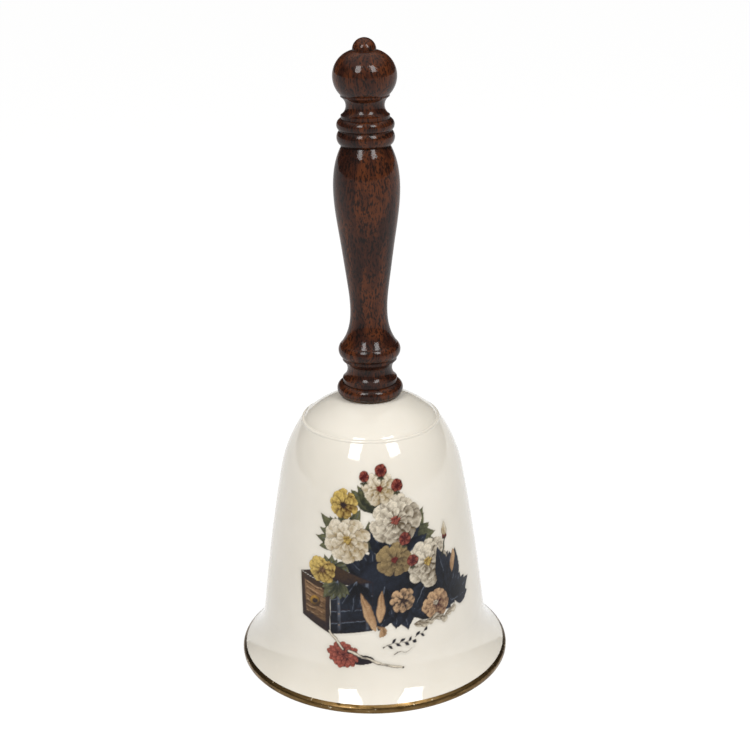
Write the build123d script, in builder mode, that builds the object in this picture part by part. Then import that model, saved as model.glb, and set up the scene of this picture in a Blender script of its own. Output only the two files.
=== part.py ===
from build123d import *
import os
from math import atan2, cos, hypot, sin, sqrt

# Porcelain hand bell with a turned hardwood handle.
# Millimetres, +Z up, origin at the centre of the rim's foot, where the bell stands.

# ---- driving dimensions: the porcelain ----
seat_z = 102.0            # height of the flat on the crown that the handle stands on
rim_r = 50.1              # outside radius of the lip
wall = 3.0                # thickness of the cast porcelain wall
crown_t = 4.0             # thickness of the crown under the handle
seat_r = 10.3             # radius of the flat on the crown
dome_r = 36.0             # radius of the ball-shaped cap round the seat
cap_round_r = 22.7        # radius where the cap's edge starts to round over
cap_edge_r = 23.9         # edge of the cap
cap_edge_drop = 7.8       # depth of that edge under the seat
shoulder_top_r = 25.2     # radius where the shoulder starts, under the bead
shoulder_top_drop = 9.1   # depth of that place under the seat
shoulder_r = 33.4         # radius where the shoulder runs into the long taper
shoulder_drop = 29.4      # depth of that place under the seat
shoulder_bulge = 1.2      # how far the shoulder stands out from its chord
taper_bulge = 0.5         # the same for the taper, which is nearly straight
flare_out = 8.8           # how far the lip stands out from the bottom of the taper
flare_h = 18.0            # height at which the taper turns into the flare
lip_w = 4.2               # width of the lip across its foot
lip_h = 2.2               # height of the lip's upright edge
lip_round = 1.0           # rounding of the lip's edges
crown_hole_r = 3.4        # clearance hole for the bolt
bead_r = 0.65             # section radius of the fine moulded bead between cap and shoulder
bead_proud = 0.4          # how far that bead stands out
bead_root = 0.3           # fillet each side of the bead

# ---- the fired gold band on the lip ----
band_t = 0.35             # thickness of the gold layer, flush with the glaze
band_top = 3.2            # height of its upper edge
band_low = 0.3            # height of its lower edge, clear of the foot

# ---- the turned handle, measured up from its base or down from its top ----
handle_l = 126.0          # base to top of the button
gasket_t = 0.6            # cork between the handle and the porcelain
gasket_r = 9.6
base_r = 10.5             # edge of the handle's flat base
base_ring_r, base_ring_h, base_ring_top = 11.8, 2.2, 4.8
fillet_r, fillet_low, fillet_top = 9.7, 6.3, 13.1
waist_r, waist_h = 8.0, 10.1
low_ring_r, low_ring_start, low_ring_h, low_ring_top = 11.05, 14.1, 16.8, 19.3
grip_foot_r = 9.9
grip_ankle_r, grip_ankle_h = 7.1, 25.7
grip_thin_r, grip_thin_h = 6.55, 31.8
grip_calf_r, grip_calf_h = 7.75, 44.0
grip_mid_r, grip_mid_h = 9.5, 56.7
grip_fat_r, grip_fat_drop = 11.53, 50.3
grip_shoulder_r, grip_shoulder_drop = 10.8, 42.8
grip_top_r, grip_top_drop = 8.4, 36.0
ring_2_r, ring_2_drop = 9.95, 33.2
ring_gap_r, ring_gap_drop, ring_gap_h = 9.1, 30.9, 0.2
ring_1_r, ring_1_drop, ring_1_top_drop = 9.9, 28.8, 26.7
neck_edge_r, neck_low_drop, neck_top_drop = 8.35, 25.6, 19.4
neck_r, neck_drop = 6.6, 22.3
collar_h = 0.6
ball_r, ball_drop = 10.9, 12.6
button_r, button_drop = 4.1, 4.1

# ---- fixings through the crown ----
bolt_r = 2.4              # shank of the eye bolt
insert_r = 4.2            # threaded insert in the handle
insert_l = 14.0
insert_flange_r = 6.2
insert_flange_t = 1.2
bolt_past_insert = 1.5    # how far the shank runs on past the insert
drill_room = 0.4          # radial room round the shank end
drill_extra = 2.0         # depth drilled past the shank end
felt_r, felt_t = 9.6, 1.2
washer_r, washer_t = 8.4, 1.0
nut_flats = 8.0           # hexagon, across flats
nut_t = 3.2
nut_chamfer = 0.5
bolt_show = 1.6           # bare shank between the nut and the eye

# ---- eye, link and clapper ----
eye_wire_r = 1.3
eye_r = 4.2               # centre line radius of the eye
link_wire_r = 1.1
link_gap = 0.25           # room between the link and each ring it hangs in
link_straight = 6.0       # length of the link's straight sides
ring_wire_r = 1.2
ring_r = 4.2              # centre line radius of the clapper rod's ring
rod_r = 1.5
spigot_r = 1.1            # thin end of the rod, through the ball
clapper_ball_r = 8.5
clapper_ball_z = 30.0     # height of the ball's centre above the foot
ball_flat_r = 2.6         # small flats where the rod and the cap nut bear
cap_nut_r = 2.5
cap_nut_h = 3.0
spigot_in_nut = 1.8

os.makedirs("parts", exist_ok=True)


def keep(part, name):
    """Label a finished piece and write it under its own name."""
    part.label = name
    export_step(part, f"parts/{name}.step")


# ---- outline of the porcelain, worked out from the dimensions above ----
dome_z = seat_z - sqrt(dome_r**2 - seat_r**2)
shoulder_z = seat_z - shoulder_drop
taper_foot_r = rim_r - flare_out
taper_lean = atan2(taper_foot_r - shoulder_r, shoulder_z - flare_h)


def dome_point(r, radius):
    """Point of the ball-shaped cap at distance r from the axis."""
    return (r, dome_z + sqrt(radius**2 - r**2))


def arc_middle(start, end, bulge):
    """Middle of an arc that runs down the wall and stands out from its chord by bulge."""
    chord_r, chord_z = end[0] - start[0], end[1] - start[1]
    length = hypot(chord_r, chord_z)
    return (
        (start[0] + end[0]) / 2 - chord_z / length * bulge,
        (start[1] + end[1]) / 2 + chord_r / length * bulge,
    )


# Outside, from the edge of the handle's seat down to the lip.
seat_edge = (seat_r, seat_z)
cap_edge = (cap_edge_r, seat_z - cap_edge_drop)
shoulder_top = (shoulder_top_r, seat_z - shoulder_top_drop)
shoulder_end = (shoulder_r, shoulder_z)
taper_end = (taper_foot_r, flare_h)
lip_top = (rim_r, lip_h)

# Inside, the same shapes one wall thickness further in.
inner_dome_r = dome_r - wall
inner_seat_z = seat_z - crown_t
inner_seat_r = sqrt(inner_dome_r**2 - (inner_seat_z - dome_z) ** 2)
inner_cap_edge = dome_point(cap_edge_r - wall * cap_edge_r / dome_r, inner_dome_r)
inner_shoulder_end = (shoulder_r - wall * cos(taper_lean), shoulder_z - wall * sin(taper_lean))
inner_taper_end = (taper_foot_r - wall * cos(taper_lean), flare_h - wall * sin(taper_lean))
inner_lip = (rim_r - lip_w, 0)

with BuildSketch(Plane.XZ) as porcelain_section:
    with BuildLine():
        Line((crown_hole_r, seat_z), seat_edge)
        cap_round = dome_point(cap_round_r, dome_r)
        cap = ThreePointArc(seat_edge, dome_point((seat_r + cap_round_r) / 2, dome_r), cap_round)
        TangentArc(cap_round, cap_edge, tangent=cap % 1)
        Line(cap_edge, shoulder_top)
        ThreePointArc(shoulder_top, arc_middle(shoulder_top, shoulder_end, shoulder_bulge), shoulder_end)
        outer_taper = ThreePointArc(
            shoulder_end, arc_middle(shoulder_end, taper_end, taper_bulge), taper_end
        )
        TangentArc(taper_end, lip_top, tangent=outer_taper % 1)
        Line(lip_top, (rim_r, 0))
        Line((rim_r, 0), inner_lip)
        inner_taper = ThreePointArc(
            inner_shoulder_end,
            arc_middle(inner_shoulder_end, inner_taper_end, taper_bulge),
            inner_taper_end,
        )
        TangentArc(inner_taper_end, inner_lip, tangent=inner_taper % 1)
        ThreePointArc(
            inner_shoulder_end,
            arc_middle(inner_cap_edge, inner_shoulder_end, shoulder_bulge),
            inner_cap_edge,
        )
        ThreePointArc(
            inner_cap_edge,
            dome_point((inner_seat_r + inner_cap_edge[0]) / 2, inner_dome_r),
            (inner_seat_r, inner_seat_z),
        )
        Line((inner_seat_r, inner_seat_z), (crown_hole_r, inner_seat_z))
        Line((crown_hole_r, inner_seat_z), (crown_hole_r, seat_z))
    make_face()
    fillet(porcelain_section.vertices().filter_by_position(Axis.Y, -0.01, lip_h + 0.01), lip_round)
    # The bead is a round sunk into the slope between the cap and the shoulder.
    slope_r, slope_z = shoulder_top[0] - cap_edge[0], shoulder_top[1] - cap_edge[1]
    slope = hypot(slope_r, slope_z)
    bead_at = (
        (cap_edge[0] + shoulder_top[0]) / 2 - slope_z / slope * (bead_proud - bead_r),
        (cap_edge[1] + shoulder_top[1]) / 2 + slope_r / slope * (bead_proud - bead_r),
    )
    with Locations(bead_at):
        Circle(bead_r)
    bead_roots = porcelain_section.vertices().sort_by_distance(bead_at)[0:2]
    fillet(bead_roots, bead_root)

# The gold takes the outer skin of the lip: what is left when the section is moved inwards.
with BuildSketch(Plane.XZ) as band_section:
    add(porcelain_section.sketch_local)
    with Locations((-band_t, 0)):
        add(porcelain_section.sketch_local, mode=Mode.SUBTRACT)
    with Locations((rim_r, (band_low + band_top) / 2)):
        Rectangle(lip_w, band_top - band_low, mode=Mode.INTERSECT)

# ---- porcelain shell: one slip-cast piece, open at the mouth, drilled through the crown ----
with BuildPart() as bell_shell:
    with BuildSketch(Plane.XZ):
        add(porcelain_section.sketch_local)
        add(band_section.sketch_local, mode=Mode.SUBTRACT)
    revolve(axis=Axis.Z)
keep(bell_shell.part, "bell_shell")

# ---- gold band: lustre fired onto the outside of the lip ----
with BuildPart() as gold_band:
    with BuildSketch(Plane.XZ):
        add(band_section.sketch_local)
    revolve(axis=Axis.Z)
keep(gold_band.part, "gold_band")

# ---- seat gasket: a thin cork ring between the handle and the crown ----
with BuildPart() as seat_gasket:
    with BuildSketch(Plane.XY.offset(seat_z)):
        Circle(gasket_r)
        Circle(crown_hole_r, mode=Mode.SUBTRACT)
    extrude(amount=gasket_t)
keep(seat_gasket.part, "seat_gasket")

# ---- handle: one turned piece of hardwood, drilled from below ----
base_z = seat_z + gasket_t
top_z = base_z + handle_l
bolt_top_z = base_z + insert_l + bolt_past_insert


def up(r, height):
    """Point of the handle's outline, height above its base."""
    return (r, base_z + height)


def down(r, drop):
    """Point of the handle's outline, drop below its top."""
    return (r, top_z - drop)


with BuildPart() as handle:
    with BuildSketch(Plane.XZ):
        with BuildLine():
            # Base ring, and the hollow waist above it.
            Line(up(0, 0), up(base_r, 0))
            ThreePointArc(up(base_r, 0), up(base_ring_r, base_ring_h), up(fillet_r, base_ring_top))
            Line(up(fillet_r, base_ring_top), up(fillet_r, fillet_low))
            ThreePointArc(up(fillet_r, fillet_low), up(waist_r, waist_h), up(fillet_r, fillet_top))
            Line(up(fillet_r, fillet_top), up(fillet_r, low_ring_start))
            # Lower ring, and the long grip.
            ThreePointArc(
                up(fillet_r, low_ring_start), up(low_ring_r, low_ring_h), up(grip_foot_r, low_ring_top)
            )
            Spline(
                up(grip_foot_r, low_ring_top),
                up(grip_ankle_r, grip_ankle_h),
                up(grip_thin_r, grip_thin_h),
                up(grip_calf_r, grip_calf_h),
                up(grip_mid_r, grip_mid_h),
                down(grip_fat_r, grip_fat_drop),
                down(grip_shoulder_r, grip_shoulder_drop),
                down(grip_top_r, grip_top_drop),
            )
            # Two rings under the neck.
            ThreePointArc(
                down(grip_top_r, grip_top_drop), down(ring_2_r, ring_2_drop), down(ring_gap_r, ring_gap_drop)
            )
            Line(down(ring_gap_r, ring_gap_drop), down(ring_gap_r, ring_gap_drop - ring_gap_h))
            ThreePointArc(
                down(ring_gap_r, ring_gap_drop - ring_gap_h),
                down(ring_1_r, ring_1_drop),
                down(neck_edge_r, ring_1_top_drop),
            )
            Line(down(neck_edge_r, ring_1_top_drop), down(neck_edge_r, neck_low_drop))
            # Neck, its small collar, the ball and the button.
            ThreePointArc(
                down(neck_edge_r, neck_low_drop), down(neck_r, neck_drop), down(neck_edge_r, neck_top_drop)
            )
            Line(down(neck_edge_r, neck_top_drop), down(neck_edge_r, neck_top_drop - collar_h))
            ThreePointArc(
                down(neck_edge_r, neck_top_drop - collar_h), down(ball_r, ball_drop), down(button_r, button_drop)
            )
            TangentArc(down(0, 0), down(button_r, button_drop), tangent=(1, 0))
            Line(down(0, 0), up(0, 0))
        make_face()
    revolve(axis=Axis.Z)
    with Locations((0, 0, base_z)):
        Cylinder(
            insert_flange_r, insert_flange_t, align=(Align.CENTER, Align.CENTER, Align.MIN), mode=Mode.SUBTRACT
        )
        Cylinder(insert_r, insert_l, align=(Align.CENTER, Align.CENTER, Align.MIN), mode=Mode.SUBTRACT)
        Cylinder(
            bolt_r + drill_room,
            insert_l + bolt_past_insert + drill_extra,
            align=(Align.CENTER, Align.CENTER, Align.MIN),
            mode=Mode.SUBTRACT,
        )
keep(handle.part, "handle")

# ---- threaded insert: a flanged brass bush let into the handle ----
with BuildPart() as thread_insert:
    with BuildSketch(Plane.XZ):
        with BuildLine():
            Polyline(
                up(bolt_r, 0),
                up(insert_flange_r, 0),
                up(insert_flange_r, insert_flange_t),
                up(insert_r, insert_flange_t),
                up(insert_r, insert_l),
                up(bolt_r, insert_l),
                close=True,
            )
        make_face()
    revolve(axis=Axis.Z)
keep(thread_insert.part, "thread_insert")

# ---- stack under the crown: felt, metal washer, nut ----
felt_z = inner_seat_z - felt_t
washer_z = felt_z - washer_t
nut_z = washer_z - nut_t

with BuildPart() as felt_washer:
    with BuildSketch(Plane.XY.offset(felt_z)):
        Circle(felt_r)
        Circle(bolt_r, mode=Mode.SUBTRACT)
    extrude(amount=felt_t)
keep(felt_washer.part, "felt_washer")

with BuildPart() as crown_washer:
    with BuildSketch(Plane.XY.offset(washer_z)):
        Circle(washer_r)
        Circle(bolt_r, mode=Mode.SUBTRACT)
    extrude(amount=washer_t)
    fillet(crown_washer.edges().filter_by(GeomType.CIRCLE).group_by(Axis.Z)[0].sort_by(SortBy.RADIUS)[-1], 0.4)
keep(crown_washer.part, "crown_washer")

with BuildPart() as lock_nut:
    with BuildSketch(Plane.XY.offset(nut_z)):
        RegularPolygon(nut_flats / 2, 6, major_radius=False)
        Circle(bolt_r, mode=Mode.SUBTRACT)
    extrude(amount=nut_t)
    # The corners are turned off in a cone, as on a machined nut.
    nut_corner_r = nut_flats / sqrt(3)
    with BuildSketch(Plane.XZ, mode=Mode.PRIVATE) as nut_turning:
        with BuildLine():
            Polyline(
                (0, nut_z),
                (nut_flats / 2, nut_z),
                (nut_corner_r, nut_z + nut_chamfer),
                (nut_corner_r, nut_z + nut_t - nut_chamfer),
                (nut_flats / 2, nut_z + nut_t),
                (0, nut_z + nut_t),
                close=True,
            )
        make_face()
    revolve(nut_turning.sketch, axis=Axis.Z, mode=Mode.INTERSECT)
keep(lock_nut.part, "lock_nut")

# ---- eye bolt: a shank with a closed eye bent and brazed at its foot ----
eye_z = nut_z - bolt_show - eye_wire_r - eye_r
with BuildPart() as eye_bolt:
    with BuildSketch(Plane.XY.offset(eye_z)):
        with Locations((eye_r, 0)):
            Circle(eye_wire_r)
    revolve(axis=Axis((0, 0, eye_z), (0, 1, 0)))
    with BuildSketch(Plane.XY.offset(eye_z + eye_r)):
        Circle(bolt_r)
    extrude(amount=bolt_top_z - eye_z - eye_r)
keep(eye_bolt.part, "eye_bolt")

# ---- hanger link: an oval wire link that hangs in the eye and swings about the X axis ----
link_pivot_z = eye_z - eye_r
link_bend_r = max(eye_wire_r, ring_wire_r) + link_wire_r + link_gap
link_low_z = link_pivot_z - link_straight
with BuildPart() as hanger_link:
    with BuildLine(Plane.YZ) as link_line:
        Line((link_bend_r, link_low_z), (link_bend_r, link_pivot_z))
        CenterArc((0, link_pivot_z), link_bend_r, 0, 180)
        Line((-link_bend_r, link_pivot_z), (-link_bend_r, link_low_z))
        CenterArc((0, link_low_z), link_bend_r, 180, 180)
    with BuildSketch(Plane.XY.offset(link_low_z)):
        with Locations((0, link_bend_r)):
            Circle(link_wire_r)
    sweep(path=link_line.wires()[0])
keep(hanger_link.part, "hanger_link")

# ---- clapper rod: a ring at the top, a straight rod, and a thin end through the ball ----
ring_pivot_z = link_low_z - link_bend_r
ring_z = ring_pivot_z + link_wire_r + ring_wire_r + link_gap - ring_r
ball_flat_z = sqrt(clapper_ball_r**2 - ball_flat_r**2)
ball_top_z = clapper_ball_z + ball_flat_z
ball_low_z = clapper_ball_z - ball_flat_z
with BuildPart() as clapper_rod:
    with BuildSketch(Plane.XY.offset(ring_z)):
        with Locations((ring_r, 0)):
            Circle(ring_wire_r)
    revolve(axis=Axis((0, 0, ring_z), (0, 1, 0)))
    with BuildSketch(Plane.XY.offset(ball_top_z)):
        Circle(rod_r)
    extrude(amount=ring_z - ring_r - ball_top_z)
    with BuildSketch(Plane.XY.offset(ball_low_z - spigot_in_nut)):
        Circle(spigot_r)
    extrude(amount=ball_top_z - ball_low_z + spigot_in_nut)
keep(clapper_rod.part, "clapper_rod")

# ---- clapper ball: turned brass, bored through, with a small flat at each end ----
with BuildPart() as clapper_ball:
    with Locations((0, 0, clapper_ball_z)):
        Sphere(clapper_ball_r)
        Cylinder(clapper_ball_r, 2 * ball_flat_z, mode=Mode.INTERSECT)
        Cylinder(spigot_r, 2 * ball_flat_z, mode=Mode.SUBTRACT)
keep(clapper_ball.part, "clapper_ball")

# ---- cap nut: a small domed nut that holds the ball on ----
with BuildPart() as cap_nut:
    with BuildSketch(Plane.XZ):
        with BuildLine():
            Line((spigot_r, ball_low_z), (cap_nut_r, ball_low_z))
            Line((cap_nut_r, ball_low_z), (cap_nut_r, ball_low_z - cap_nut_h + cap_nut_r))
            JernArc((cap_nut_r, ball_low_z - cap_nut_h + cap_nut_r), (0, -1), cap_nut_r, -90)
            Line((0, ball_low_z - cap_nut_h), (0, ball_low_z - spigot_in_nut))
            Line((0, ball_low_z - spigot_in_nut), (spigot_r, ball_low_z - spigot_in_nut))
            Line((spigot_r, ball_low_z - spigot_in_nut), (spigot_r, ball_low_z))
        make_face()
    revolve(axis=Axis.Z)
keep(cap_nut.part, "cap_nut")
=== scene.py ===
import math
import random

import bpy
import numpy as np
from mathutils import Matrix, Vector


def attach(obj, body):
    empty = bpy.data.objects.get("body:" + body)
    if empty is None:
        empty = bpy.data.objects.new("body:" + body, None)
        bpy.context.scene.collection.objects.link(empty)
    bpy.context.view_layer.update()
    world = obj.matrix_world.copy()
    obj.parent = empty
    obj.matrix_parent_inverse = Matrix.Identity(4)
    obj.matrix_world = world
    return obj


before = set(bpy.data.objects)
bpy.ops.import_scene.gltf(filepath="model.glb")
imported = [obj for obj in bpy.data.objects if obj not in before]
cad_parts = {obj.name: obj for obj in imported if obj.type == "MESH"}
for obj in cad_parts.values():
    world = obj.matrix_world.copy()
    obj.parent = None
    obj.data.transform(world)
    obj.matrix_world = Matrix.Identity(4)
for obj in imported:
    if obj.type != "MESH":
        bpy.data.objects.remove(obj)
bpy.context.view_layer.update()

# ---- camera ----
# It stands in front of the bell and a little above the handle, and looks down on it.
# It is turned a hair about its own line of sight, so that the handle leans to the left.
mm = 0.001
camera_side, camera_back, camera_height = 1.8 * mm, 504.8 * mm, 297.7 * mm
camera_down, camera_roll = 20.472, -0.9625
sensor_w, lens = 36.0, 72.13
bpy.ops.object.camera_add(location=(camera_side, -camera_back, camera_height))
camera = bpy.context.object
camera.name = "camera"
camera.data.sensor_width, camera.data.lens = sensor_w, lens
aim = Matrix.Rotation(math.radians(90 - camera_down), 3, "X")
camera.rotation_euler = (aim @ Matrix.Rotation(math.radians(camera_roll), 3, "Z")).to_euler()
bpy.context.scene.camera = camera
bpy.context.scene.view_settings.view_transform = "Standard"

# ---- studio: floor, surrounding light and softboxes ----
# A white table top, lit through from below and less so towards the front, and open under the
# bell's mouth so that light gets inside. Two softboxes stand in front under a bright ceiling,
# and the darker walls at the sides and the back give the white porcelain its edges.
floor_hole_r = 47.2 * mm
floor_r = 30.0
floor_under_foot = 0.05 * mm
ceiling_white, front_white, back_grey, below_white = 1.0, 0.25, 0.05, 0.9
# Where one shade of the room turns into the next, as parts of a direction of length 1.
wall_greys_from, wall_greys_to = 0.2, -0.9
ceiling_from, ceiling_to = 0.5, 0.9
below_from, below_to = -0.02, -0.1
laminate_grain = 3 * mm
softbox_size = (0.26, 0.46)
softbox_far, softbox_aim = 1.0, 0.1
softbox_turns = (-27.0, 37.0)
softbox_up = 44.0
softbox_watts = 4.8
table_glow, table_glow_front = 0.9, 0.62
glow_fades_from, glow_fades_to = -60 * mm, -420 * mm


def linear(hex_colour):
    """A colour written as sRGB hex, as the linear RGBA that a shader takes."""
    channels = [int(hex_colour[i:i + 2], 16) / 255 for i in (1, 3, 5)]
    return [c / 12.92 if c <= 0.04045 else ((c + 0.055) / 1.055) ** 2.4 for c in channels] + [1.0]


def add_node(tree, kind, inputs=(), stops=(), **settings):
    """Add a shader node and return its outputs. inputs gives each socket a value, or the output
    that feeds it; stops are a colour ramp's positions and hex colours."""
    made = tree.nodes.new("ShaderNode" + kind)
    for name, value in settings.items():
        setattr(made, name, value)
    for count, (position, hex_colour) in enumerate(stops):
        ramp = made.color_ramp.elements
        stop = ramp[count] if count < 2 else ramp.new(position)
        stop.position = position
        stop.color = linear(hex_colour)
    for socket, value in dict(inputs).items():
        if isinstance(value, bpy.types.NodeSocket):
            tree.links.new(value, made.inputs[socket])
        else:
            made.inputs[socket].default_value = value
    return made.outputs


def new_finish(name):
    """A new material with an empty node tree, and that tree."""
    material = bpy.data.materials.new(name)
    material.use_nodes = True
    material.node_tree.nodes.clear()
    return material, material.node_tree


bpy.ops.object.select_all(action="DESELECT")
bpy.ops.mesh.primitive_circle_add(
    vertices=96, radius=floor_hole_r, fill_type="NOTHING", location=(0, 0, -floor_under_foot)
)
floor = bpy.context.object
floor.name = "floor"
bpy.ops.object.mode_set(mode="EDIT")
bpy.ops.mesh.select_all(action="SELECT")
bpy.ops.mesh.extrude_edges_move()
spread = floor_r / floor_hole_r
bpy.ops.transform.resize(value=(spread, spread, 1), center_override=(0, 0, 0))
bpy.ops.mesh.select_all(action="SELECT")
bpy.ops.mesh.normals_make_consistent(inside=False)
bpy.ops.object.mode_set(mode="OBJECT")
if floor.data.polygons[0].normal.z < 0:
    floor.data.flip_normals()

# Matt white laminate, seen from above only, so that the bell can also be looked at from below.
table_white, tree = new_finish("matt_white_laminate")
where = add_node(tree, "TexCoord")["Object"]
grain = add_node(tree, "TexNoise", {"Vector": where, "Scale": 1 / laminate_grain, "Detail": 2.0})[0]
shade = add_node(tree, "ValToRGB", {"Fac": grain}, stops=((0.3, "#6C6C6C"), (0.7, "#707070")))[0]
matt = add_node(tree, "BsdfDiffuse", {"Color": shade})[0]
towards_back = add_node(tree, "SeparateXYZ", {0: where})["Y"]
strength = add_node(tree, "MapRange", {
    0: towards_back, 1: glow_fades_from, 2: glow_fades_to, 3: table_glow, 4: table_glow_front
})[0]
lit_through = add_node(tree, "Emission", {"Color": linear("#FFFFFF"), "Strength": strength})[0]
matt = add_node(tree, "AddShader", {0: matt, 1: lit_through})[0]
clear = add_node(tree, "BsdfTransparent")[0]
below = add_node(tree, "NewGeometry")["Backfacing"]
one_sided = add_node(tree, "MixShader", {0: below, 1: matt, 2: clear})[0]
add_node(tree, "OutputMaterial", {"Surface": one_sided})
floor.data.materials.append(table_white)

room = bpy.data.worlds.new("room")
bpy.context.scene.world = room
room.use_nodes = True
tree = room.node_tree
tree.nodes.clear()
towards = add_node(tree, "TexCoord")["Generated"]
axes = add_node(tree, "SeparateXYZ", {0: towards})
upward = add_node(tree, "Math", {0: axes["Z"], 1: 0.0}, operation="MAXIMUM")[0]
wall_light = add_node(
    tree, "MapRange",
    {0: axes["Y"], 1: wall_greys_from, 2: wall_greys_to, 3: back_grey, 4: front_white}
)[0]
above = add_node(
    tree, "MapRange", {0: upward, 1: ceiling_from, 2: ceiling_to, 3: wall_light, 4: ceiling_white}
)[0]
brightness = add_node(
    tree, "MapRange", {0: axes["Z"], 1: below_from, 2: below_to, 3: above, 4: below_white}
)[0]
glow = add_node(tree, "Background", {"Color": linear("#FFFEFB"), "Strength": brightness})[0]
add_node(tree, "OutputWorld", {"Surface": glow})

for turn, side in zip(softbox_turns, ("left", "right")):
    heading = Vector((math.sin(math.radians(turn)), -math.cos(math.radians(turn)), 0))
    lift = Vector((0, 0, math.sin(math.radians(softbox_up))))
    heading = heading * math.cos(math.radians(softbox_up)) + lift
    stand = Vector((0, 0, softbox_aim)) + heading * softbox_far
    bpy.ops.object.light_add(type="AREA", location=stand)
    softbox = bpy.context.object
    softbox.name = "softbox_" + side
    softbox.rotation_euler = heading.to_track_quat("Z", "Y").to_euler()
    softbox.data.shape = "RECTANGLE"
    softbox.data.size, softbox.data.size_y = softbox_size
    softbox.data.energy = softbox_watts
    softbox.visible_camera = False

# ---- bell shell ----
# Slip-cast porcelain, fired white and dipped in a clear glaze that turns it creamy. The glaze
# lies a little uneven, and is wiped off the foot it was fired on. The crown is clamped between
# the handle and the washers.
foot_dry = 0.25 * mm
glaze_wave = 14 * mm
glaze_orange_peel = 1.6 * mm
glaze_cloud = 22 * mm
glaze_wave_depth, glaze_peel_depth = 0.10 * mm, 0.0012 * mm
glaze_ior = 1.52
fleck_apart, fleck_share = 2.4 * mm, 0.07
china_glow, china_depth, china_warmth = 0.12, 1.2 * mm, (1.0, 0.85, 0.7)


def glaze_nodes(tree):
    """The glaze's colour, roughness and normal, from the place on the piece."""
    where = add_node(tree, "TexCoord")["Object"]
    cloud = add_node(
        tree, "TexNoise", {"Vector": where, "Scale": 1 / glaze_cloud, "Detail": 3.0}
    )[0]
    cream = add_node(
        tree, "ValToRGB", {"Fac": cloud}, stops=((0.3, "#D2CCC0"), (0.7, "#D8D2C7"))
    )[0]
    flecks = add_node(tree, "TexVoronoi", {"Vector": where, "Scale": 1 / fleck_apart}, feature="F1")
    dots = add_node(tree, "MapRange", {0: flecks["Distance"], 1: 0.035, 2: 0.06, 3: 1.0, 4: 0.0})[0]
    rare = add_node(tree, "SeparateColor", {0: flecks["Color"]})["Red"]
    few = add_node(tree, "Math", {0: rare, 1: 1 - fleck_share}, operation="GREATER_THAN")[0]
    shown = add_node(tree, "Math", {0: dots, 1: few}, operation="MULTIPLY")[0]
    faint = add_node(tree, "Math", {0: shown, 1: 0.45}, operation="MULTIPLY")[0]
    speckled = add_node(
        tree, "Mix", {0: faint, 6: cream, 7: linear("#A58F72")}, data_type="RGBA"
    )[2]
    wave = add_node(tree, "TexNoise", {"Vector": where, "Scale": 1 / glaze_wave, "Detail": 1.0})[0]
    peel = add_node(
        tree, "TexNoise", {"Vector": where, "Scale": 1 / glaze_orange_peel, "Detail": 2.0}
    )[0]
    rough = add_node(tree, "MapRange", {0: peel, 1: 0.3, 2: 0.7, 3: 0.05, 4: 0.085})[0]
    swell = add_node(
        tree, "Bump", {"Height": wave, "Distance": glaze_wave_depth, "Strength": 1.0}
    )[0]
    skin = add_node(tree, "Bump", {
        "Height": peel, "Distance": glaze_peel_depth, "Strength": 1.0, "Normal": swell
    })[0]
    return where, speckled, rough, skin


# Glazed porcelain: white body under clear glass, so a soft pale colour with sharp highlights.
glazed, tree = new_finish("glazed_porcelain")
where, cream, rough, skin = glaze_nodes(tree)
height = add_node(tree, "SeparateXYZ", {0: where})["Z"]
bare = add_node(tree, "MapRange", {0: height, 1: foot_dry, 2: foot_dry * 0.5, 3: 0.0, 4: 1.0})[0]
colour = add_node(tree, "Mix", {0: bare, 6: cream, 7: linear("#E2D6C2")}, data_type="RGBA")[2]
rougher = add_node(tree, "MapRange", {0: bare, 1: 0.0, 2: 1.0, 3: rough, 4: 0.7})[0]
shader = add_node(tree, "BsdfPrincipled", {
    "Base Color": colour, "Roughness": rougher, "Normal": skin, "IOR": glaze_ior,
    "Subsurface Weight": china_glow, "Subsurface Scale": china_depth,
    "Subsurface Radius": china_warmth,
})[0]
add_node(tree, "OutputMaterial", {"Surface": shader})


def dress(node, material):
    """Give a CAD node this material."""
    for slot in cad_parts[node].material_slots:
        slot.material = material


dress("bell_shell", glazed)

# ---- gold band ----
# Bright-gold lustre brushed on the lip by hand and fired. It is a skin of metal, thinner and
# browner where the brush left less, and worn in spots down to the glaze.
brush_mark, brush_mark_long, worn_spot = 5 * mm, 5, 1.3 * mm
lustre_ripple = 0.02 * mm

# A film of real gold over glaze: a metal's sharp tinted reflections, dulled where it is thin.
gold, tree = new_finish("fired_gold_lustre")
where = add_node(tree, "TexCoord")["Object"]
brushing = add_node(tree, "Mapping", {"Vector": where, "Scale": (1, 1, brush_mark_long)})[0]
thick = add_node(tree, "TexNoise", {"Vector": brushing, "Scale": 1 / brush_mark, "Detail": 4.0})[0]
metal = add_node(tree, "ValToRGB", {"Fac": thick}, stops=(
    (0.3, "#33260F"), (0.42, "#624C2C"), (0.58, "#6F5939"), (0.75, "#8A714A")
))[0]
spots = add_node(tree, "TexNoise", {"Vector": where, "Scale": 1 / worn_spot, "Detail": 3.0})[0]
worn = add_node(tree, "MapRange", {0: spots, 1: 0.66, 2: 0.72, 3: 0.0, 4: 0.75})[0]
colour = add_node(tree, "Mix", {0: worn, 6: metal, 7: linear("#CDBFA2")}, data_type="RGBA")[2]
metallic = add_node(tree, "MapRange", {0: worn, 1: 0.0, 2: 1.0, 3: 1.0, 4: 0.1})[0]
rough = add_node(tree, "MapRange", {0: thick, 1: 0.3, 2: 0.7, 3: 0.42, 4: 0.22})[0]
skin = add_node(tree, "Bump", {"Height": thick, "Distance": lustre_ripple, "Strength": 1.0})[0]
shader = add_node(tree, "BsdfPrincipled", {
    "Base Color": colour, "Metallic": metallic, "Roughness": rough, "Normal": skin,
})[0]
add_node(tree, "OutputMaterial", {"Surface": shader})
dress("gold_band", gold)

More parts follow.
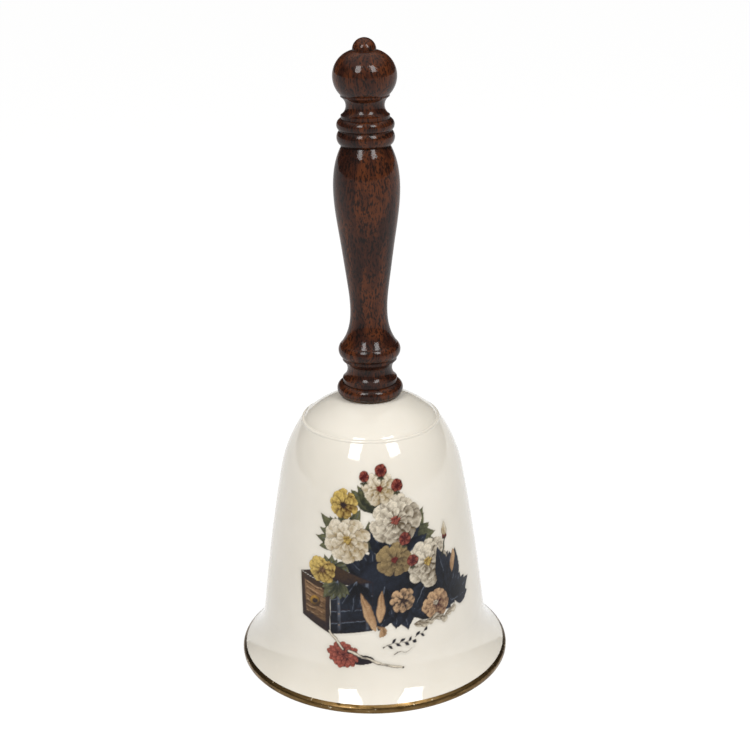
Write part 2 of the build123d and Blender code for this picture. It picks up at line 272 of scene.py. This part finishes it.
# ---- printed picture ----
# A ceramic transfer: flowers and leaves in a box, printed in enamel inks on a clear film that
# is slid onto the wall and fired into the glaze. The film ends a little outside the inks.
# Places on it are millimetres round the wall from the middle of the front, and up from the foot.
film_left, film_right = -32.0, 42.0
film_low, film_high = 9.0, 91.0
film_step = 0.27
film_margin = 0.5
film_up = 0.04 * mm
film_t = 0.02 * mm
smooth_angle = 40
wobble = 0.5
print_dot = 0.35 * mm
ink_gloss, ink_roughness = 0.2, 0.13
petal_rim, panel_rim = 0.42, 0.55
ink_names = {
    "line": "#241C22", "cream": "#E6DAC4", "straw": "#9C855B", "shade": "#5C4C36",
    "brick": "#86352B", "brick_light": "#AE5C4B", "brick_dark": "#431619",
    "navy": "#0B0C12", "slate": "#232936", "mist": "#6A7280",
    "ochre": "#B98B38", "ochre_light": "#D9BA68", "ochre_dark": "#5E3F1A",
    "tan": "#94704E", "tan_light": "#C9A47C", "umber": "#43301F", "sage": "#6B6A4A",
    "moss": "#2E3126",
}
ink = {name: np.array(linear(code)[:3]) for name, code in ink_names.items()}
draw = random.Random(11)
grid = np.random.RandomState(5)

bpy.ops.object.select_all(action="DESELECT")
across_steps = round((film_right - film_left) / film_step)
up_steps = round((film_high - film_low) / film_step)
bpy.ops.mesh.primitive_grid_add(x_subdivisions=across_steps, y_subdivisions=up_steps, size=1)
film = bpy.context.object
film.name = "printed_picture"
flat = np.zeros(len(film.data.vertices) * 3)
film.data.vertices.foreach_get("co", flat)
flat = flat.reshape(-1, 3)
place_u = film_left + (flat[:, 0] + 0.5) * (film_right - film_left)
place_z = film_low + (flat[:, 1] + 0.5) * (film_high - film_low)
printed = np.tile(ink["cream"], (len(flat), 1))
cover = np.zeros(len(flat))


def soft_noise(size):
    """Smooth random values from -1 to 1 over the film, with lumps of that size in millimetres."""
    columns = int((film_right - film_left) / size) + 3
    rows = int((film_high - film_low) / size) + 3
    values = grid.uniform(-1, 1, (rows, columns))
    u, z = (place_u - film_left) / size, (place_z - film_low) / size
    i, j = np.floor(z).astype(int), np.floor(u).astype(int)
    s, t = z - i, u - j
    s, t = s * s * (3 - 2 * s), t * t * (3 - 2 * t)
    low = values[i, j] * (1 - t) + values[i, j + 1] * t
    high = values[i + 1, j] * (1 - t) + values[i + 1, j + 1] * t
    return low * (1 - s) + high * s


# The hand's wobble: shapes are drawn on slightly warped paper.
paper_u = place_u + wobble * 0.5 * soft_noise(3.1) + wobble * 0.35 * soft_noise(1.1)
paper_z = place_z + wobble * 0.5 * soft_noise(2.7) + wobble * 0.35 * soft_noise(1.0)
brush = 0.6 * soft_noise(0.8) + 0.4 * soft_noise(2.2)


def lay_ink(near, mask, colours):
    """Print over what is there: colours at the places in near, as strongly as mask says."""
    printed[near] += (colours - printed[near]) * mask[:, None]
    cover[near] = np.maximum(cover[near], mask)


def petal(at, length, width, turn, light, dark, fullness=1.7, edge="line", lit=0.0):
    """A petal or leaf with its root at a place, pointing turn degrees clockwise from straight up.
    A fullness over 1 is a broad tip; 1 is a leaf. lit makes the whole of it lighter or darker."""
    a = math.radians(turn)
    du, dz = paper_u - at[0], paper_z - at[1]
    along = (du * math.sin(a) + dz * math.cos(a)) / length
    across = du * math.cos(a) - dz * math.sin(a)
    near = np.nonzero((along > 0) & (along < 1) & (np.abs(across) < width))[0]
    along, across = along[near], across[near]
    half = width / 2 * np.sin(np.pi * along ** fullness) ** (0.55 if fullness > 1 else 1.1) + 1e-6
    inside = half - np.abs(across)
    mask = np.clip(inside / 0.3 + 0.3, 0, 1)
    side = across / half
    folds = np.cos(side * 7 + at[0]) * (1 - along) * 0.35
    tone = np.clip(0.04 + 0.78 * along + 0.28 * side + folds + 0.34 * brush[near] + lit, 0, 1)
    colours = ink[dark] + (ink[light] - ink[dark]) * tone[:, None]
    line = np.clip(1 - inside / petal_rim, 0, 1) ** 1.3
    colours = colours + (ink[edge] - colours) * line[:, None] * 0.85
    lay_ink(near, mask, colours)


def spot(at, radius, light, dark, flat=1.0, edge="line"):
    """A bud, berry or shadow: a round of that radius, lit from the upper left."""
    du, dz = paper_u - at[0], (paper_z - at[1]) / flat
    near = np.nonzero(np.hypot(du, dz) < radius)[0]
    du, dz = du[near] / radius, dz[near] / radius
    out = np.hypot(du, dz)
    tone = np.clip(0.55 + 0.5 * (dz - du) - 0.3 * out + 0.3 * brush[near], 0, 1)
    colours = ink[dark] + (ink[light] - ink[dark]) * tone[:, None]
    line = np.clip((out - 0.8) / 0.2, 0, 1)
    colours = colours + (ink[edge] - colours) * line[:, None] * 0.8
    lay_ink(near, np.clip((1 - out) * radius / 0.3, 0, 1), colours)


def stroke(points, width, name, taper=0.0):
    """A pen or brush line through points, thinner towards its end by taper."""
    for count, (a, b) in enumerate(zip(points, points[1:])):
        a, b = np.array(a), np.array(b)
        run = b - a
        share = ((place_u - a[0]) * run[0] + (place_z - a[1]) * run[1]) / (run @ run)
        share = np.clip(share, 0, 1)
        away = np.hypot(paper_u - a[0] - share * run[0], paper_z - a[1] - share * run[1])
        gone = (count + share) / (len(points) - 1)
        inside = width / 2 * (1 - taper * gone) - away
        near = np.nonzero(inside > -0.15)[0]
        lay_ink(near, np.clip(inside[near] / 0.3 + 0.5, 0, 1), np.tile(ink[name], (len(near), 1)))


def panel(corners, light, dark):
    """A flat side of the box, with its corners in order clockwise, and darker lower down."""
    corners = np.array(corners, float)
    inside = np.full(len(place_u), 1e9)
    for a, b in zip(corners, np.roll(corners, -1, axis=0)):
        run = (b - a) / np.hypot(*(b - a))
        inside = np.minimum(inside, (place_u - a[0]) * run[1] - (place_z - a[1]) * run[0])
    near = np.nonzero(inside > -0.1)[0]
    top = corners[0] + (corners[1] - corners[0]) * 0.5
    low = corners[3] + (corners[2] - corners[3]) * 0.5
    down = (top[1] - paper_z[near]) / (top[1] - low[1])
    tone = np.clip(0.75 - 0.5 * down + 0.35 * brush[near], 0, 1)
    colours = ink[dark] + (ink[light] - ink[dark]) * tone[:, None]
    line = np.clip(1 - inside[near] / panel_rim, 0, 1)
    colours = colours + (ink["line"] - colours) * line[:, None] * 0.9
    lay_ink(near, np.clip(inside[near] / 0.25 + 0.4, 0, 1), colours)


def bloom(at, radius, light, dark, heart, heart_dark, petals=9, flat=1.0):
    """An open flower: three rings of petals round a heart of stamens."""
    spot(at, 0.62 * radius, dark, dark, flat, dark)
    rings = ((1.0, 0.62, petals), (0.74, 0.52, petals - 1), (0.46, 0.36, petals - 3))
    for ring, (reach, size, count) in enumerate(rings):
        for k in range(count):
            turn = 360 / count * k + 23 * ring + draw.uniform(-9, 9)
            a = math.radians(turn)
            grown = radius * draw.uniform(0.92, 1.06)
            root = (reach - size) * grown
            where = (at[0] + root * math.sin(a), at[1] + root * math.cos(a) * flat)
            width = size * grown * draw.uniform(0.95, 1.2)
            lit = 0.22 * math.cos(a + 0.7) + 0.04 - 0.03 * ring
            petal(where, size * grown * 1.05, width, turn, light, dark, 1.8, "line", lit)
    for k in range(12):
        a, out = 2.4 * k, radius * 0.17 * math.sqrt(k / 12)
        where = (at[0] + out * math.sin(a), at[1] + out * math.cos(a) * flat)
        spot(where, 0.055 * radius + 0.22, heart, heart_dark)


def spray(at, reach, width, turns, count, light, dark):
    """Leaves that fan out from one place, each a little different."""
    for k in range(count):
        turn = turns[0] + (turns[1] - turns[0]) * (k + 0.5) / count + draw.uniform(-7, 7)
        length = reach * draw.uniform(0.78, 1.1)
        petal(at, length, width * draw.uniform(0.85, 1.2), turn, light, dark, 1.0, "navy")
        a = math.radians(turn)
        tip = (at[0] + 0.85 * length * math.sin(a), at[1] + 0.85 * length * math.cos(a))
        stroke((at, tip), 0.28, "mist", 0.7)


# Leaves at the back and the stalks of the tall flowers.
spray((2.0, 70.0), 13.5, 4.6, (-52, 62), 9, "sage", "moss")
spray((-9.0, 60.0), 12.5, 4.4, (-112, 34), 9, "sage", "moss")
spray((12.0, 60.0), 12.5, 4.8, (8, 112), 7, "sage", "moss")
spray((0.0, 56.0), 13.5, 5.0, (-34, 40), 8, "sage", "moss")
spray((-16.0, 46.0), 10.0, 3.6, (-20, 70), 6, "sage", "moss")
for stalk in (
    ((-3.0, 46.0), (-9.6, 70.0)), ((3.0, 46.0), (3.4, 76.0)), ((-12.0, 44.0), (-18.0, 47.0))
):
    stroke(stalk, 0.9, "moss")
spray((2.0, 44.0), 17.0, 6.5, (-62, 80), 10, "slate", "navy")
spray((8.0, 52.0), 15.0, 6.0, (-50, 60), 7, "slate", "navy")
spray((21.0, 42.0), 15.0, 7.5, (10, 170), 9, "slate", "navy")
spray((9.0, 42.0), 15.5, 8.0, (85, 265), 13, "slate", "navy")
spot((6.0, 44.0), 12.0, "slate", "navy", 0.9, "navy")
spot((21.0, 36.0), 8.5, "slate", "navy", 0.8, "navy")

# The box: its top, its boarded front with two nailed straps, and its end with a panel and knob.
panel(((-28.3, 46.2), (-13.0, 51.0), (0.0, 46.0), (-15.5, 43.2)), "umber", "line")
panel(((-15.5, 43.2), (0.0, 46.0), (-0.5, 28.0), (-16.2, 25.4)), "slate", "navy")
for board in range(1, 4):
    left_z, right_z = 43.2 - 4.45 * board, 46.0 - 4.5 * board
    joint = [(-15.6 + 5.1 * n, left_z + (right_z - left_z) * n / 3) for n in range(4)]
    stroke(joint, 0.5, "line")
    stroke([(u, z - 0.42) for u, z in joint], 0.22, "mist")
for u in (-13.2, -3.0):
    strap_top, strap_low = 46.1 + 0.17 * u, 28.1 + 0.16 * u
    strap = ((u, strap_top), (u + 1.5, strap_top + 0.2), (u + 1.4, strap_low + 0.2),
             (u - 0.1, strap_low))
    panel(strap, "mist", "navy")
    for k in range(4):
        spot((u + 0.7, 42.3 + 0.17 * u - 3.9 * k + 1.0), 0.38, "tan_light", "umber")
panel(((-28.3, 46.2), (-15.5, 43.2), (-16.2, 25.4), (-27.6, 30.2)), "umber", "line")
panel(((-26.7, 43.8), (-17.2, 41.3), (-17.6, 29.2), (-26.2, 32.4)), "tan", "umber")
for k in range(6):
    row = 41.4 - 2.1 * k
    stroke(((-25.8, row + 0.9), (-21.8, row + 0.1), (-17.8, row - 0.8)), 0.45, "umber", 0.4)
    stroke(((-25.4, row + 1.5), (-19.0, row + 0.1)), 0.25, "tan_light", 0.6)
spot((-21.8, 36.6), 2.3, "ochre", "umber")
spot((-21.8, 36.6), 1.1, "umber", "line")

# Leaves and stalks that hang over the box.
spray((-6.0, 46.0), 12.0, 5.0, (150, 215), 5, "slate", "navy")
spray((-13.0, 45.5), 8.5, 3.4, (120, 250), 6, "sage", "moss")
spray((4.0, 44.0), 15.5, 6.0, (165, 200), 3, "slate", "navy")
spray((20.0, 45.0), 14.0, 7.0, (150, 215), 5, "slate", "navy")
for foot, tip, wide in (((-4.5, 42), (0.6, 27.6), 2.1), ((3.0, 43), (2.0, 31), 1.9)):
    turn = math.degrees(math.atan2(tip[0] - foot[0], tip[1] - foot[1]))
    petal(foot, math.dist(foot, tip), wide * 1.7, turn, "tan_light", "tan", 1.3)
for k in range(5):
    petal((0.8 + 0.5 * k, 29.6), 4.6, 1.9, 118 + 17 * k, "tan_light", "tan", 1.4, "umber")

# The flowers, from the back of the bunch to the front.
bloom((8.2, 67.6), 9.0, "cream", "shade", "brick_light", "brick_dark", 11)
bloom((-9.0, 60.6), 8.3, "cream", "straw", "ochre_light", "ochre_dark", 10)
bloom((2.8, 79.0), 5.7, "cream", "straw", "brick", "brick_dark", 9)
bloom((-10.2, 73.4), 5.1, "ochre_light", "ochre_dark", "umber", "line", 9)
bloom((20.4, 50.6), 8.6, "cream", "shade", "ochre_light", "ochre_dark", 11)
bloom((7.6, 53.6), 6.4, "straw", "shade", "brick", "brick_dark", 9)
bloom((-18.8, 48.6), 5.4, "ochre_light", "ochre_dark", "tan", "umber", 10, 0.62)
bloom((10.4, 38.4), 4.6, "tan_light", "line", "umber", "line", 8)
bloom((23.6, 34.6), 5.7, "tan_light", "brick_dark", "cream", "umber", 10, 0.8)
for at, size in (
    ((-2.6, 83.2), 1.9), ((3.2, 85.0), 2.3), ((8.9, 79.6), 2.3), ((11.4, 60.6), 2.5),
    ((14.4, 52.4), 2.3),
):
    spot(at, size, "brick", "brick_dark")
    for k in range(6):
        long, wide = size * 0.9, size * 0.75
        petal(at, long, wide, 60 * k + 20, "brick_light", "brick_dark", 1.6, "brick_dark", -0.15)
    for k in range(3):
        petal((at[0], at[1] - 0.8 * size), 1.7, 1.0, 130 + 50 * k, "sage", "moss", 1.0, "line")

# Tall dark leaves at the right with one pale bud, and petals fallen on the table.
spray((31.0, 35.0), 19.0, 6.5, (-30, 12), 4, "slate", "navy")
spray((31.5, 33.0), 12.0, 6.0, (0, 95), 5, "slate", "navy")
petal((31.5, 43.0), 8.5, 2.8, 8, "tan_light", "tan", 1.2)
petal((28.2, 56.4), 6.6, 3.0, -4, "cream", "straw", 0.9)
petal((28.2, 56.2), 2.6, 1.6, 22, "brick", "brick_dark", 1.0)
petal((28.0, 56.2), 2.6, 1.6, -26, "brick", "brick_dark", 1.0)
stroke(((28.2, 57.0), (27.0, 51.0)), 0.8, "moss")
for k in range(8):
    where = (14.2 + 2.1 * k, 29.0 + 0.5 * math.sin(2.0 * k))
    petal(where, 4.4, 2.8, 96 + 24 * math.sin(1.7 * k), "cream", "shade", 1.6, "line")

# A red flower lying in front, its long pale stalk under it, and its shadow.
spot((-4.6, 16.8), 4.8, "navy", "line", 0.42, "line")
spot((-11.4, 17.6), 4.9, "brick_dark", "line", 0.8, "line")
for k in range(34):
    turn = 137.5 * k
    a, out = math.radians(turn), 3.4 * math.sqrt(1 - k / 34)
    where = (-11.3 + out * math.sin(a) * 1.15, 18.3 + out * math.cos(a) * 0.8)
    petal(where, 2.5, 2.1, turn + 15, "brick_light", "brick_dark", 1.6, "brick_dark", 0.05)
for k in range(9):
    petal((-11.3, 18.3), 2.0, 1.3, 40 * k, "brick_light", "brick_dark", 1.6, "brick_dark", -0.1)
stroke(((-16.4, 26.6), (-11.4, 20.4)), 1.25, "line")
stroke(((-16.4, 26.6), (-11.4, 20.4)), 0.7, "cream")
stroke(((-9.0, 19.8), (0.6, 16.0), (10.2, 13.4)), 1.35, "line", 0.35)
stroke(((-9.0, 19.9), (0.6, 16.1), (9.6, 13.6)), 0.75, "cream", 0.3)

# A small dark sprig at the lower right of the box, with a curl under it.
sprig = [(3.2 + 1.5 * k, 21.4 + 0.33 * k + 0.5 * math.sin(0.8 * k)) for k in range(11)]
stroke(sprig, 0.5, "line", 0.4)
for k, at in enumerate(sprig[1:]):
    lean = 42 if k % 2 else 122
    petal(at, 2.9 - 0.07 * k, 1.35, lean, "slate", "line", 1.0, "line")
curl = [(7.0 + 1.1 * k, 18.6 + 0.25 * k + 0.6 * math.sin(1.1 * k)) for k in range(9)]
stroke(curl, 0.42, "line", 0.6)

# The film is trimmed a little outside the inks, bent round the wall and given its thickness.
order = np.lexsort((place_u, place_z))
kept = (cover[order] > 0.02).reshape(-1, across_steps + 1)
reach = round(film_margin / film_step)
grown = np.zeros_like(kept)
for row in range(-reach, reach + 1):
    for column in range(-reach, reach + 1):
        if math.hypot(row, column) <= reach + 0.3:
            grown |= np.roll(kept, (row, column), (0, 1))
trimmed = np.zeros(len(order), bool)
trimmed[order] = grown.ravel()

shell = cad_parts["bell_shell"]
heights = np.linspace(film_low, film_high, 200) * mm
radii = [-shell.ray_cast(Vector((0, -0.2, h)), Vector((0, 1, 0)))[1].y for h in heights]
wall_r = np.interp(place_z * mm, heights, radii) + film_up
turned = place_u * mm / wall_r
bent = np.column_stack((wall_r * np.sin(turned), -wall_r * np.cos(turned), place_z * mm))
film.data.vertices.foreach_set("co", bent.ravel())
colours = film.data.color_attributes.new("ink", "FLOAT_COLOR", "POINT")
colours.data.foreach_set("color", np.column_stack((printed, cover)).ravel())

bpy.ops.object.mode_set(mode="EDIT")
bpy.ops.mesh.select_mode(type="VERT")
bpy.ops.mesh.select_all(action="DESELECT")
bpy.ops.object.mode_set(mode="OBJECT")
film.data.vertices.foreach_set("select", ~trimmed)
bpy.ops.object.mode_set(mode="EDIT")
bpy.ops.mesh.delete(type="VERT")
bpy.ops.object.mode_set(mode="OBJECT")
if film.data.polygons[0].normal.y > 0:
    film.data.flip_normals()
body = film.modifiers.new("thickness", "SOLIDIFY")
body.thickness = film_t
body.offset = -1
bpy.ops.object.modifier_apply(modifier=body.name)
bpy.ops.object.shade_smooth_by_angle(angle=math.radians(smooth_angle))

# Fired enamel inks: dots of pigment under the same glass, less glossy than bare glaze. The dots
# are drawn coarser than real ones, so that they show.
enamel, tree = new_finish("fired_enamel_print")
where, cream, rough, skin = glaze_nodes(tree)
inks = add_node(tree, "VertexColor", layer_name="ink")
grain = add_node(tree, "TexNoise", {"Vector": where, "Scale": 1 / print_dot, "Detail": 2.0})[0]
uneven = add_node(tree, "MapRange", {0: grain, 1: 0.3, 2: 0.7, 3: 0.68, 4: 0.96})[0]
pigment = add_node(
    tree, "Mix", {0: 1.0, 6: inks["Color"], 7: uneven}, data_type="RGBA", blend_type="MULTIPLY"
)[2]
colour = add_node(tree, "Mix", {0: inks["Alpha"], 6: cream, 7: pigment}, data_type="RGBA")[2]
duller = add_node(
    tree, "MapRange", {0: inks["Alpha"], 1: 0.0, 2: 1.0, 3: rough, 4: ink_roughness}
)[0]
shader = add_node(tree, "BsdfPrincipled", {
    "Base Color": colour, "Roughness": duller, "Normal": skin, "IOR": glaze_ior,
    "Specular IOR Level": ink_gloss,
    "Subsurface Weight": china_glow, "Subsurface Scale": china_depth,
    "Subsurface Radius": china_warmth,
})[0]
add_node(tree, "OutputMaterial", {"Surface": shader})
film.data.materials.append(enamel)
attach(film, "bell")

# ---- handle ----
# One length of open-grained hardwood turned on a lathe, stained red-brown and lacquered. Its
# pores run along it as short dark strokes, and the turned creases are darkened with painted shade.
pore_w, pore_l = 0.30 * mm, 1.0 * mm
figure_w, figure_stretch = 5 * mm, 0.12
curl_size, curl_shift = 9 * mm, (3.0 * mm, 3.0 * mm, 2.0 * mm)
crease_reach = 5 * mm
pore_dip, lacquer_dip = 0.05 * mm, 0.05 * mm
lacquer_ior = 1.5

# Stain soaked into wood under a clear coat: a deep dull brown with small sharp highlights. The
# pores are drawn wider than real ones, so that they show.
wood, tree = new_finish("stained_mahogany_lacquered")
where = add_node(tree, "TexCoord")["Object"]
curl = add_node(tree, "TexNoise", {"Vector": where, "Scale": 1 / curl_size, "Detail": 2.0})[1]
bend = add_node(tree, "VectorMath", {0: curl, 1: (0.5, 0.5, 0.5)}, operation="SUBTRACT")[0]
shift = add_node(tree, "VectorMath", {0: bend, 1: curl_shift}, operation="MULTIPLY")[0]
wavy = add_node(tree, "VectorMath", {0: where, 1: shift}, operation="ADD")[0]
drawn = add_node(tree, "Mapping", {"Vector": wavy, "Scale": (1, 1, pore_w / pore_l)})[0]
pores = add_node(tree, "TexNoise", {
    "Vector": drawn, "Scale": 1 / (2.0 * pore_w), "Detail": 2.0, "Roughness": 0.6
})[0]
long_drawn = add_node(tree, "Mapping", {"Vector": wavy, "Scale": (1, 1, figure_stretch)})[0]
figure = add_node(
    tree, "TexNoise", {"Vector": long_drawn, "Scale": 1 / figure_w, "Detail": 4.0}
)[0]
stain = add_node(tree, "ValToRGB", {"Fac": figure}, stops=(
    (0.3, "#240E07"), (0.44, "#37190D"), (0.58, "#582C13"), (0.74, "#2C1209")
))[0]
open_pore = add_node(tree, "MapRange", {0: pores, 1: 0.51, 2: 0.41, 3: 0.0, 4: 0.85})[0]
grained = add_node(
    tree, "Mix", {0: open_pore, 6: stain, 7: linear("#0C0402")}, data_type="RGBA"
)[2]
# Painted shade: the colour is made darker where ambient occlusion finds the turned creases.
crease_occlusion = add_node(
    tree, "AmbientOcclusion", {"Distance": crease_reach}, samples=8, only_local=True
)["AO"]
painted_crease_shade = add_node(tree, "MapRange", {0: crease_occlusion, 1: 0.5, 2: 0.96, 3: 0.1, 4: 0.8})[0]
colour = add_node(
    tree, "Mix", {0: 1.0, 6: grained, 7: painted_crease_shade}, data_type="RGBA", blend_type="MULTIPLY"
)[2]
dips = add_node(tree, "Bump", {"Height": pores, "Distance": pore_dip, "Strength": 0.8})[0]
lacquer = add_node(tree, "Bump", {"Height": pores, "Distance": lacquer_dip, "Strength": 0.8})[0]
shader = add_node(tree, "BsdfPrincipled", {
    "Base Color": colour, "Roughness": 0.6, "Normal": dips, "IOR": lacquer_ior,
    "Specular IOR Level": 0.05, "Coat Weight": 0.42, "Coat Roughness": 0.05,
    "Coat IOR": lacquer_ior, "Coat Normal": lacquer,
})[0]
add_node(tree, "OutputMaterial", {"Surface": shader})
dress("handle", wood)

# ---- seat gasket ----
# A thin ring punched from a sheet of pressed cork grains. It lies between the foot of the
# handle and the crown, and keeps the hard wood and the hard glaze from chipping each other.
cork_grain, cork_relief = 1.1 * mm, 0.08 * mm

# Ground cork baked in a binder: dull grains of different browns, with no shine.
cork, tree = new_finish("agglomerated_cork")
where = add_node(tree, "TexCoord")["Object"]
grains = add_node(tree, "TexVoronoi", {"Vector": where, "Scale": 1 / cork_grain}, feature="F1")
tints = add_node(tree, "SeparateColor", {0: grains["Color"]})["Green"]
colour = add_node(tree, "ValToRGB", {"Fac": tints}, stops=(
    (0.0, "#5E3F24"), (0.25, "#8A653E"), (0.7, "#A67E52"), (1.0, "#C09A6C")
))[0]
skin = add_node(
    tree, "Bump", {"Height": grains["Distance"], "Distance": cork_relief, "Strength": 1.0}
)[0]
shader = add_node(tree, "BsdfPrincipled", {
    "Base Color": colour, "Roughness": 0.85, "Normal": skin,
})[0]
add_node(tree, "OutputMaterial", {"Surface": shader})
dress("seat_gasket", cork)

# ---- felt washer ----
# A ring punched from pressed wool felt. It lies between the steel washer and the inside of the
# crown, so that no metal bears on the porcelain.
felt_hair, felt_relief = 0.35 * mm, 0.15 * mm

# Matted wool: no shine, with a soft sheen at its edges. The hairs are drawn much coarser than
# real ones, so that they show.
felt, tree = new_finish("pressed_wool_felt")
where = add_node(tree, "TexCoord")["Object"]
hair = add_node(tree, "TexNoise", {
    "Vector": where, "Scale": 1 / felt_hair, "Detail": 5.0, "Distortion": 2.0
})[0]
colour = add_node(tree, "ValToRGB", {"Fac": hair}, stops=(
    (0.3, "#3F3329"), (0.5, "#6A5A4C"), (0.7, "#8C7C6A")
))[0]
skin = add_node(tree, "Bump", {"Height": hair, "Distance": felt_relief, "Strength": 1.0})[0]
shader = add_node(tree, "BsdfPrincipled", {
    "Base Color": colour, "Roughness": 0.95, "Normal": skin, "Sheen Weight": 0.4,
    "Sheen Roughness": 0.5,
})[0]
add_node(tree, "OutputMaterial", {"Surface": shader})
dress("felt_washer", felt)

# ---- crown washer and lock nut ----
# Bought-in pressed steel washer and thin hexagon nut, zinc plated and bright. The nut is
# screwed up the eye bolt and clamps the crown between the handle and the washers.
zinc_mark, zinc_mark_long, zinc_cloud = 1.5 * mm, 12, 4 * mm
metal_relief = 0.01 * mm

# Electroplated zinc: a bright, slightly blotched grey. The marks of pressing are drawn coarser
# than real ones, so that they show.
zinc, tree = new_finish("bright_zinc_plated_steel")
where = add_node(tree, "TexCoord")["Object"]
marks_at = add_node(tree, "Mapping", {"Vector": where, "Scale": (1, 1, zinc_mark_long)})[0]
marks = add_node(tree, "TexNoise", {"Vector": marks_at, "Scale": 1 / zinc_mark, "Detail": 5.0})[0]
cloud = add_node(tree, "TexNoise", {"Vector": where, "Scale": 1 / zinc_cloud, "Detail": 3.0})[0]
colour = add_node(tree, "ValToRGB", {"Fac": cloud}, stops=(
    (0.3, "#8E908E"), (0.55, "#B4B5B2"), (0.75, "#C6C5BC")
))[0]
rough = add_node(tree, "MapRange", {0: marks, 1: 0.3, 2: 0.7, 3: 0.22, 4: 0.42})[0]
skin = add_node(tree, "Bump", {"Height": marks, "Distance": metal_relief, "Strength": 1.0})[0]
shader = add_node(tree, "BsdfPrincipled", {
    "Base Color": colour, "Metallic": 1.0, "Roughness": rough, "Normal": skin,
})[0]
add_node(tree, "OutputMaterial", {"Surface": shader})

for name in ("crown_washer", "lock_nut"):
    dress(name, zinc)

# ---- thread insert and eye bolt ----
# A flanged bush turned from brass bar and glued into the foot of the handle, and the brass bolt
# that screws into it. The bolt's lower end is bent round into a closed eye and brazed.
brass_mark, brass_mark_long, brass_cloud = 1.8 * mm, 10, 5 * mm

# Brass left bare: yellow and bright where it is rubbed, browner and duller where it tarnished.
# The marks of drawing and turning are made coarser than real ones, so that they show.
brass, tree = new_finish("drawn_brass_tarnished")
where = add_node(tree, "TexCoord")["Object"]
marks_at = add_node(tree, "Mapping", {"Vector": where, "Scale": (1, 1, brass_mark_long)})[0]
marks = add_node(tree, "TexNoise", {"Vector": marks_at, "Scale": 1 / brass_mark, "Detail": 5.0})[0]
cloud = add_node(tree, "TexNoise", {"Vector": where, "Scale": 1 / brass_cloud, "Detail": 4.0})[0]
colour = add_node(tree, "ValToRGB", {"Fac": cloud}, stops=(
    (0.3, "#7A5B2C"), (0.5, "#B08A45"), (0.72, "#C9A45C")
))[0]
rough = add_node(tree, "MapRange", {0: cloud, 1: 0.3, 2: 0.7, 3: 0.42, 4: 0.2})[0]
skin = add_node(tree, "Bump", {"Height": marks, "Distance": metal_relief, "Strength": 1.0})[0]
shader = add_node(tree, "BsdfPrincipled", {
    "Base Color": colour, "Metallic": 1.0, "Roughness": rough, "Normal": skin,
})[0]
add_node(tree, "OutputMaterial", {"Surface": shader})
for name in ("thread_insert", "eye_bolt"):
    dress(name, brass)

# ---- hanger link ----
# Round brass wire bent into a long oval and brazed shut. It hangs in the bolt's eye, where it
# swings to the front and back, and carries the clapper.
dress("hanger_link", brass)

# ---- clapper ----
# A brass rod with a ring at its top, which swings sideways in the link, and a turned brass ball
# that slides on from below and is held by a small domed nut.
for name in ("clapper_rod", "clapper_ball", "cap_nut"):
    dress(name, brass)
